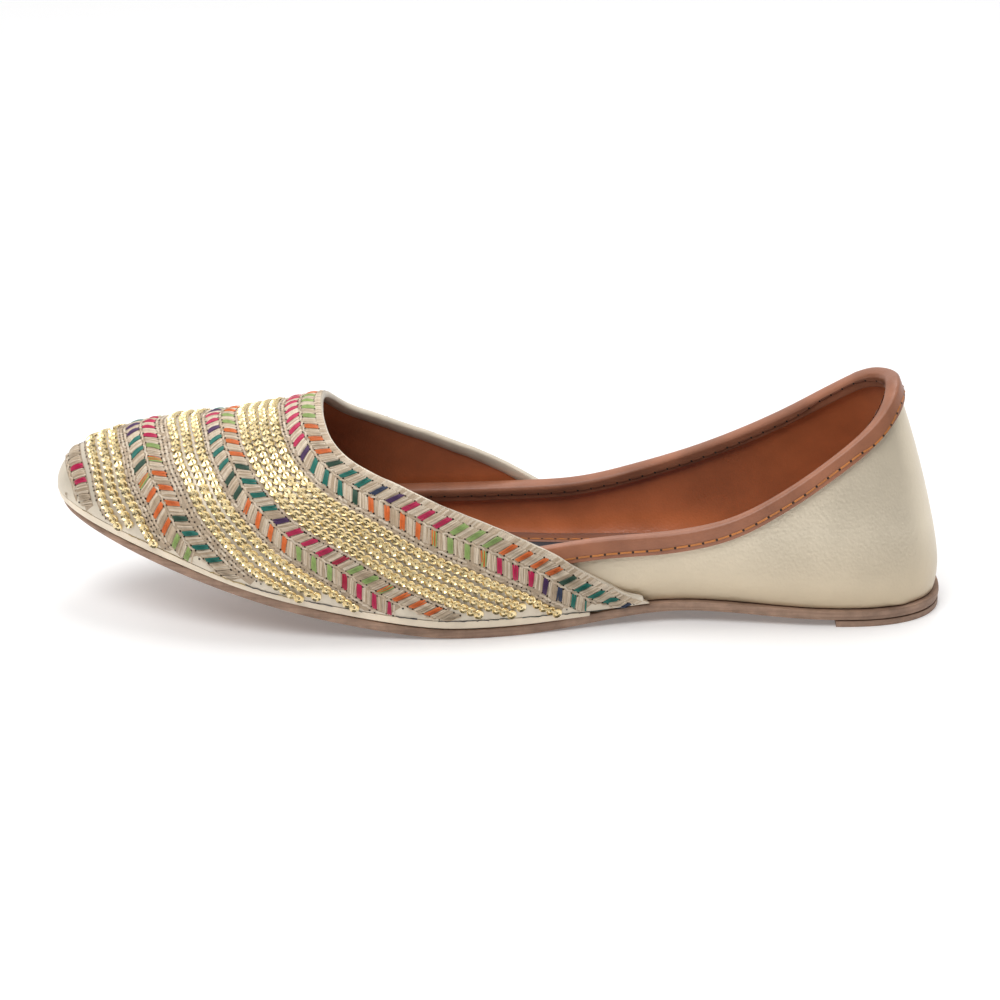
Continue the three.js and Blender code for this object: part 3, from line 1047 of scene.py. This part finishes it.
class ToplineWalk:
    """Stations round the topline from the front of the inner side, by the heel, to the outer side's."""

    HEEL = Vector((HEEL_TURN, MIDDLE_LINE, 0.0))
    STEP = 1.5 * MM
    CLIMB = 0.25 * MM
    FAR = 90 * MM

    def __init__(self):
        self.tree = tree_of("bound_topline")
        low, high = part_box("topline_binding")
        self.low, self.high = low.z, high.z
        steps = int((self.HEEL.x - low.x) / self.STEP)
        near = [low.x + 1 * MM + i * self.STEP for i in range(steps)]
        self.stations = [(Vector((x, self.HEEL.y, 0.0)), Vector((0.0, -1.0, 0.0))) for x in near]
        for i in range(41):
            turn = math.radians(-90 + 180 * i / 40)
            self.stations.append((self.HEEL.copy(), Vector((math.cos(turn), math.sin(turn), 0.0))))
        self.stations += [(Vector((x, self.HEEL.y, 0.0)), Vector((0.0, 1.0, 0.0))) for x in reversed(near)]

    def hit(self, station, height, inside):
        centre, out = station
        start = Vector((centre.x, centre.y, height))
        if not inside:
            start += out * self.FAR
        way = out if inside else -out
        point, normal, _, _ = self.tree.ray_cast(start, way, self.FAR)
        if point is None or normal.dot(-way) < 0.2 or (normal.z < -0.3 and not inside):
            return None
        return point, normal

    def line(self, inside, over):
        """Places a height over the binding's lower edge, as points with normals."""
        edge = []
        for station in self.stations:
            height = self.low
            while height < self.high and self.hit(station, height, inside) is None:
                height += self.CLIMB
            found = self.hit(station, height, inside)
            if found:
                edge.append((station, found[0]))
        places = []
        for before, here, after in zip(edge, edge[1:], edge[2:]):
            way = after[1] - before[1]
            flat = math.hypot(way.x, way.y)
            climb = over * way.length / max(flat, 0.2 * way.length)
            found = self.hit(here[0], here[1].z + climb, inside)
            if found:
                places.append(found[0])
        places = even_line(smooth_line(places, 1), SEAM_STEP)
        return [(point, self.tree.find_nearest(point)[1]) for point in places]


def sew_line(threads, holes, places, colour, chance, sizes, width, gap):
    """Running stitches along places a seam step apart, with a dark hole between them."""
    length = max(int(sizes.leather_stitch / SEAM_STEP), 2)
    turn = length + max(int(gap / SEAM_STEP), 1)
    for i in range(0, len(places) - length, turn):
        spots = [places[i], places[i + length // 2], places[i + length]]
        strand(threads, spots, width, 0.3 * MM, tinted(colour, chance, 0.2), SHORT_ARCH)
        if i + turn < len(places):
            point = (places[i + length][0] + places[i + turn][0]) / 2
            pinhole(holes, (point, places[i + length][1]), 0.36 * MM)


# Section of the insole's sewn border in mm: in from the insole's edge, and over its top
BORDER_SECTION = [(0.3, 0.12), (0.6, 0.45), (3.0, 0.5), (7.0, 0.5), (7.3, 0.4), (7.4, 0.05)]
BORDER_SEAM = 6.1

# The border begins at the ball of the foot
BORDER_FRONT = -62 * MM
BORDER_STATIONS = 70
BESIDE_INSOLE = 60 * MM


def insole_outline(tree):
    """The insole's outline from the inner side's ball, round the heel, to the outer side's."""
    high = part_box("insole")[1]
    start, end, steps = BORDER_FRONT, high.x - 0.3 * MM, BORDER_STATIONS
    near, far = [], []
    for i in range(steps + 1):
        x = start + (end - start) * math.sin(math.pi / 2 * i / steps)
        top = top_at(tree, x, MIDDLE_LINE)
        if top is None:
            continue
        for side, found in ((-1, near), (1, far)):
            outside = Vector((x, MIDDLE_LINE + side * BESIDE_INSOLE, top.z - 0.5 * MM))
            point = tree.ray_cast(outside, Vector((0.0, -side, 0.0)), 0.07)[0]
            if point is not None:
                found.append(point)
    return smooth_line(even_line(near + list(reversed(far)), 2 * MM), 3)


def insole_border(skin, threads, holes, chance, sizes):
    """The brown leather border of the insole, and the line of its orange stitches."""
    tree = tree_of("covered_insole")
    outline = insole_outline(tree)
    sections, seam = [], []
    for i in range(1, len(outline) - 1):
        way = outline[i + 1] - outline[i - 1]
        inward = Vector((-way.y, way.x, 0.0)).normalized()
        inward = inward if inward.dot(Vector((0.0, MIDDLE_LINE, 0.0)) - outline[i]) > 0 else -inward
        over = outline[i] + inward * BORDER_SEAM * MM
        top = top_at(tree, over.x, over.y)
        if top is None:
            continue
        base = Vector((outline[i].x, outline[i].y, top.z))
        sections.append(
            [base + inward * part * MM + Vector((0, 0, up * MM)) for part, up in BORDER_SECTION])
        seam.append(base + inward * BORDER_SEAM * MM + Vector((0, 0, 0.4 * MM)))
    swept("insole_border", sections, skin, "insole_cover")
    places = [(point, Vector((0.0, 0.0, 1.0))) for point in even_line(seam, SEAM_STEP)]
    sew_line(threads, holes, places, ORANGE_THREAD, chance, sizes, 0.5 * MM, 1.2 * MM)


# Steps of the thread ends over the rand, and where in front they are all of gold thread
REMNANT_STEP = 1.2 * MM
GOLD_FRONT = -75 * MM


def lay_remnants(threads, surface, chance):
    """Ends of dark and gold thread caught in the seam over the rand."""
    for side in (-1, 1):
        feather = [rows[0][1] for rows in surface.sections[side] if rows]
        places = smooth_line(even_line(feather, REMNANT_STEP), 2)
        i = 2
        while i < len(places) - 8:
            run = chance.randint(4, 7)
            near_toe = places[i].x < GOLD_FRONT
            colour = REMNANTS[2] if near_toe or chance.random() < 0.12 else chance.choice(REMNANTS[:2])
            spots = []
            for point in places[i:i + run]:
                here = point + Vector((0.0, 0.0, chance.uniform(-0.1, 0.35) * MM))
                spots.append((here, surface.tree.find_nearest(point)[1]))
            if chance.random() < 0.72:
                arch = [chance.uniform(0.5, 1.0) for _ in spots]
                width = chance.uniform(0.3, 0.5) * MM
                strand(threads, spots, width, 0.3 * MM, tinted(colour, chance), arch)
            i += run - 1


def press_creases(piece, creases):
    """Soft troughs and ridges across a piece: each fades along its length and to its sides."""
    vertices = piece.data.vertices
    places = [vertex.co.copy() for vertex in vertices]
    normals = [vertex.normal.copy() for vertex in vertices]
    moved = {}
    for middle, way, reach, width, rise in creases:
        middle, way = Vector(middle) * MM, Vector(way).normalized()
        reach, width = reach * MM, width * MM
        for i, place in enumerate(places):
            away = place - middle
            along = away.dot(way)
            across = (away - way * along).length
            if abs(along) > reach or across > width * 2.5:
                continue
            fade = math.cos(along / reach * math.pi / 2) ** 2 * math.exp(-((across / width) ** 2))
            moved[i] = moved.get(i, 0.0) + rise * MM * fade
    for i, rise in moved.items():
        vertices[i].co = places[i] + normals[i] * rise


def tuck_under(piece, line):
    """Draws the foot of a wall in over the sole, as leather turns under where it is lasted."""
    for vertex in piece.data.vertices:
        part = 1.0 - (vertex.co.z - line.at(vertex.co.x).y) / FOOT_HEIGHT
        if part <= 0.0:
            continue
        inward = inside_axis(line, vertex.co.x) - vertex.co
        inward.z = 0.0
        vertex.co += inward.normalized() * FOOT_TUCK * min(part, 1.0) ** 2


# Operators

def sizes_of(context):
    return context.scene.mojari_sizes


def colours_of(context):
    return context.scene.mojari_colours


class MOJARI_OT_sole(bpy.types.Operator):
    """Makes the outsole, heel lift, rand and insole of their leathers"""

    bl_idname = "mojari.sole"
    bl_label = "Sole and insole"

    def execute(self, context):
        sizes, colours = sizes_of(context), colours_of(context)
        edge = sole_leather("sole_edge", colours.sole)
        cover = leather("insole_cover", colours.insole, 0.55, 0.9 * MM, 0.1 * MM)
        cream = leather("rand_leather", colours.rand, 0.42, 0.8 * MM, 0.12 * MM, 0.25)
        dress(refined("outsole", "leather_outsole", sizes.seam_round), "outsole_leather", edge)
        dress(refined("heel_lift", "heel_piece", 0.25 * MM, 1), "lift_leather", edge)
        dress(refined("insole", "covered_insole", sizes.seam_round, 1), "insole_cover", cover)
        dress(refined("rand", "rand_strip", sizes.seam_round), "rand_leather", cream)
        return {"FINISHED"}


class MOJARI_OT_upper(bpy.types.Operator):
    """Makes the vamp, the quarters and the binding of the topline"""

    bl_idname = "mojari.upper"
    bl_label = "Upper"

    def execute(self, context):
        sizes, colours = sizes_of(context), colours_of(context)
        line = SoleLine()
        lining = leather("lining_leather", colours.lining, 0.3, 0.6 * MM, 0.08 * MM, 0.0, 0.35)
        rim = leather("turned_edge", colours.vamp, 0.45, 0.7 * MM, 0.1 * MM, 0.15)
        ground = leather("vamp_leather", colours.vamp, 0.42, 0.7 * MM, 0.12 * MM, 0.25)
        # The quarters' leather carries painted shade towards the sole
        pale_gold = leather(
            "quarter_leather", colours.quarter, 0.36, 0.85 * MM, 0.1 * MM, 0.35, 0.0, 0.04, QUARTER_PAINTED_SHADE)
        tan = leather("binding_leather", colours.binding, 0.45, 0.7 * MM, 0.1 * MM, 0.0, 0.1, 0.18)
        vamp = refined("upper_vamp", "vamp_shell", sizes.seam_round)
        dress(vamp, "vamp_embroidery", ground, lining, rim)
        press_creases(vamp, VAMP_CREASES)
        paint_shell(vamp, line)
        quarters = refined("upper_quarters", "quarters_shell", sizes.seam_round)
        dress(quarters, "quarter_leather", pale_gold, lining, lining)
        press_creases(quarters, QUARTER_CREASES)
        tuck_under(quarters, line)
        paint_shell(quarters, line)
        dress(refined("topline_binding", "bound_topline", 0.3 * MM), "binding_leather", tan)
        return {"FINISHED"}


class MOJARI_OT_embroidery(bpy.types.Operator):
    """Sews the herringbone bands, ground stitches, edging and rows of sequins on the vamp"""

    bl_idname = "mojari.embroidery"
    bl_label = "Embroidery"

    def execute(self, context):
        sizes = sizes_of(context)
        surface = EmbroideredSurface(SoleLine())
        chance = random.Random(11)
        thread = silk("silk_thread")
        holes, bars, gap_shade_ribbons = Cloth(), Cloth(), Cloth()
        for band in HERRINGBONES:
            reach = band["column"] + 0.3
            ends = (band["braid"] - reach, band["braid"] + (reach if band["toe"] else 0.5))
            # Darker ribbons under the bands paint the shade between the strands
            shade_under_strands(gap_shade_ribbons, surface, *ends, band["short"])
            sew_herringbone(bars, holes, surface, sizes, band, chance)
        bars.finish("herringbone_bars", thread, "vamp_embroidery")
        ground = Cloth()
        for strip in GROUND_STRIPS:
            first, last, _, short = strip
            shade_under_strands(gap_shade_ribbons, surface, first - 0.6, last + 0.6, short)
            sew_ground(ground, holes, surface, sizes, strip, chance)
        shade_under_strands(gap_shade_ribbons, surface, 0.1, 2.4, 0.3)
        sew_edging(ground, surface, chance)
        gap_shade_ribbons.finish("backing_cloth", thread, "vamp_embroidery")
        ground.finish("ground_stitches", thread, "vamp_embroidery")
        sequins, threads = Cloth(), Cloth()
        for band in SEQUIN_BANDS:
            lay_sequins(sequins, threads, holes, surface, sizes, band, chance)
        throat_rim(surface, bpy.data.materials["turned_edge"])
        seam_ends = Cloth()
        lay_remnants(seam_ends, surface, chance)
        seam_ends.finish("seam_thread_ends", thread, "vamp_embroidery")
        sheet = sequins.finish("sequins", sequin_gold("sequin_gold"), "vamp_embroidery")
        sheet.data.shade_flat()
        sheet.modifiers.new("thickness", "SOLIDIFY").thickness = SEQUIN_THICKNESS
        threads.finish("sequin_threads", thread, "vamp_embroidery")
        holes.finish("pinholes", dark_hole("pinhole_dark"), "vamp_embroidery")
        return {"FINISHED"}


class MOJARI_OT_stitching(bpy.types.Operator):
    """Sews the binding inside and outside, and the border of the insole"""

    bl_idname = "mojari.stitching"
    bl_label = "Leather stitching"

    def execute(self, context):
        sizes, colours = sizes_of(context), colours_of(context)
        chance = random.Random(23)
        thread = bpy.data.materials["silk_thread"]
        threads, holes = Cloth(), Cloth()
        walk = ToplineWalk()
        for inside, over, colour, width in ((False, 1.1 * MM, ORANGE_THREAD, 0.55 * MM),
                                            (True, 2.1 * MM, BROWN_THREAD, 0.7 * MM)):
            sew_line(threads, holes, walk.line(inside, over), colour, chance, sizes, width, 1.0 * MM)
        border = leather("border_leather", shade(colours.binding, 0.75), 0.45, 0.7 * MM, 0.1 * MM)
        insole_border(border, threads, holes, chance, sizes)
        threads.finish("leather_stitches", thread, "binding_leather")
        holes.finish("stitch_holes", bpy.data.materials["pinhole_dark"], "binding_leather")
        return {"FINISHED"}


class MOJARI_OT_stage(bpy.types.Operator):
    """Sets the floor, the soft lights and the camera"""

    bl_idname = "mojari.stage"
    bl_label = "Stage"

    def execute(self, context):
        shape = bmesh.new()
        bmesh.ops.create_grid(shape, x_segments=1, y_segments=1, size=8.0)
        floor = new_object("floor", new_mesh("floor", shape))
        floor.data.materials.append(floor_paint("floor_paint"))
        world = bpy.data.worlds.new("studio")
        context.scene.world = world
        world.use_nodes = True
        light_room(world.node_tree)
        add_light("key", (-0.35, -0.6, 0.95), 0.8, 8.0)
        add_light("top", (0.15, 0.35, 1.1), 0.9, 6.0)
        context.scene.camera = add_camera()
        view = context.scene.view_settings
        view.view_transform = "Standard"
        view.look = "None"
        view.exposure = 0.0
        return {"FINISHED"}


# Room, lights and camera

def light_room(tree):
    """A pale room, darker near eye level on the camera's side, as behind a photographer."""
    place = add_node(tree, "ShaderNodeTexCoord", {}).outputs["Generated"]
    way = add_node(tree, "ShaderNodeSeparateXYZ", {"Vector": place}).outputs
    near = add_node(tree, "ShaderNodeValToRGB", {"Fac": way["Z"]})
    set_stops(near, [(0.02, LOW_ROOM), (0.07, DARK_ROOM), (0.6, DARK_ROOM), (0.77, CEILING)])
    far = add_node(tree, "ShaderNodeMapRange", {"Value": way["Y"], "From Min": -0.1, "From Max": 0.25})
    mixer = tree.nodes.new("ShaderNodeMix")
    mixer.data_type = "RGBA"
    feed(tree, mixer, {"Factor": far.outputs["Result"], 6: near.outputs["Color"], 7: FAR_ROOM})
    feed(tree, tree.nodes["Background"], {"Color": mixer.outputs[2], "Strength": 0.6})


def add_light(name, place, size, power):
    """A soft round light that points at the shoe."""
    lamp = bpy.data.lights.new(name, "AREA")
    lamp.shape = "DISK"
    lamp.size = size
    lamp.energy = power
    light = new_object(name, lamp)
    light.location = place
    way = Vector(SHOE_MIDDLE) - Vector(place)
    light.rotation_euler = way.to_track_quat("-Z", "Y").to_euler()


def add_camera():
    """The camera of the photograph: 19.5 degrees over the floor, square to the shoe's length."""
    lens = bpy.data.cameras.new("camera")
    lens.lens = CAMERA_LENS
    lens.sensor_width = 36.0
    lens.clip_start = 0.05
    camera = new_object("camera", lens)
    camera.location = CAMERA_PLACE
    camera.rotation_euler = (CAMERA_TURN, 0.0, 0.0)
    return camera


class MOJARI_PT_panel(bpy.types.Panel):
    """Lists the makers of the shoe's pieces"""

    bl_label = "Mojari shoe"
    bl_idname = "MOJARI_PT_panel"
    bl_space_type = "VIEW_3D"
    bl_region_type = "UI"
    bl_category = "Mojari"

    def draw(self, context):
        for operator in OPERATORS:
            self.layout.operator(operator.bl_idname)
        for group in (sizes_of(context), colours_of(context)):
            for name in group.__annotations__:
                self.layout.prop(group, name)


OPERATORS = [MOJARI_OT_sole, MOJARI_OT_upper, MOJARI_OT_embroidery, MOJARI_OT_stitching, MOJARI_OT_stage]
CLASSES = [MojariSizes, MojariColours, *OPERATORS, MOJARI_PT_panel]


def register():
    for cls in CLASSES:
        bpy.utils.register_class(cls)
    bpy.types.Scene.mojari_sizes = PointerProperty(type=MojariSizes)
    bpy.types.Scene.mojari_colours = PointerProperty(type=MojariColours)


def unregister():
    del bpy.types.Scene.mojari_colours
    del bpy.types.Scene.mojari_sizes
    for cls in reversed(CLASSES):
        bpy.utils.unregister_class(cls)


def main():
    register()
    bpy.ops.mojari.sole()
    bpy.ops.mojari.upper()
    bpy.ops.mojari.embroidery()
    bpy.ops.mojari.stitching()
    bpy.ops.mojari.stage()


if __name__ == "__main__":
    main()
